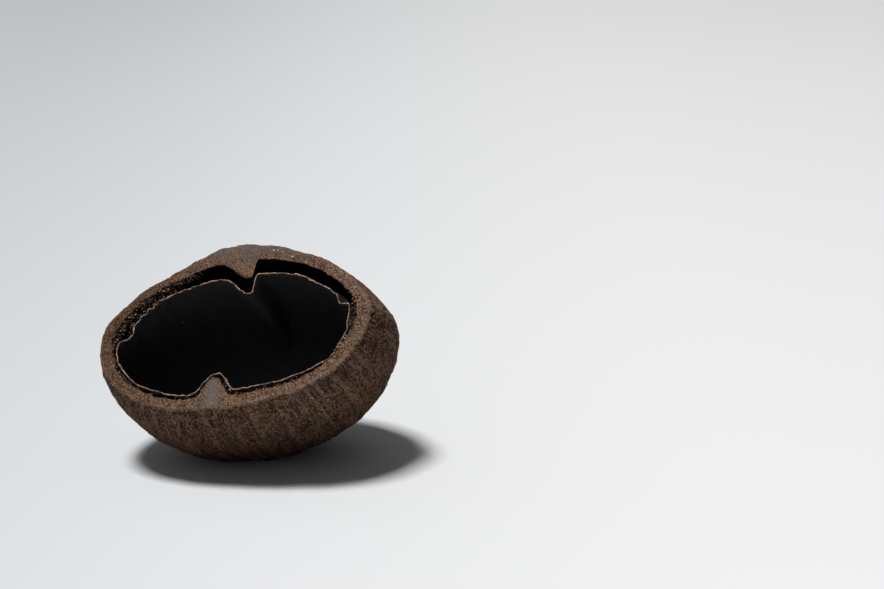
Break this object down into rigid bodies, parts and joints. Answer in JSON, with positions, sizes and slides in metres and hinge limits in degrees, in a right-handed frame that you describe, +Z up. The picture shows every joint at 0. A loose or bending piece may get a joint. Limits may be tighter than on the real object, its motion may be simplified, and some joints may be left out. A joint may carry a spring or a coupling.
{
  "type": "palm pod",
  "caption": "Dried woody palm pod with its end sawn off, an oval cup with a thick fibrous husk and a thin folded inner shell, lying with its opening tipped up.",
  "frame": {"origin": "middle of the small flat spot on the underside that the pod rests on", "axes": "+Z up, +X along the long side of the oval opening, the opening faces -Y, tipped 40 degrees above the level and turned 16 degrees towards -X"},
  "size_m": [0.1108, 0.0779, 0.0844],
  "materials": {
    "husk": "dry, rough and fibrous",
    "inner_shell": "dry, dull satin"
  },
  "bodies": {
    "root": {"husk": "husk", "inner_shell": "inner_shell"}
  },
  "joints": []
}
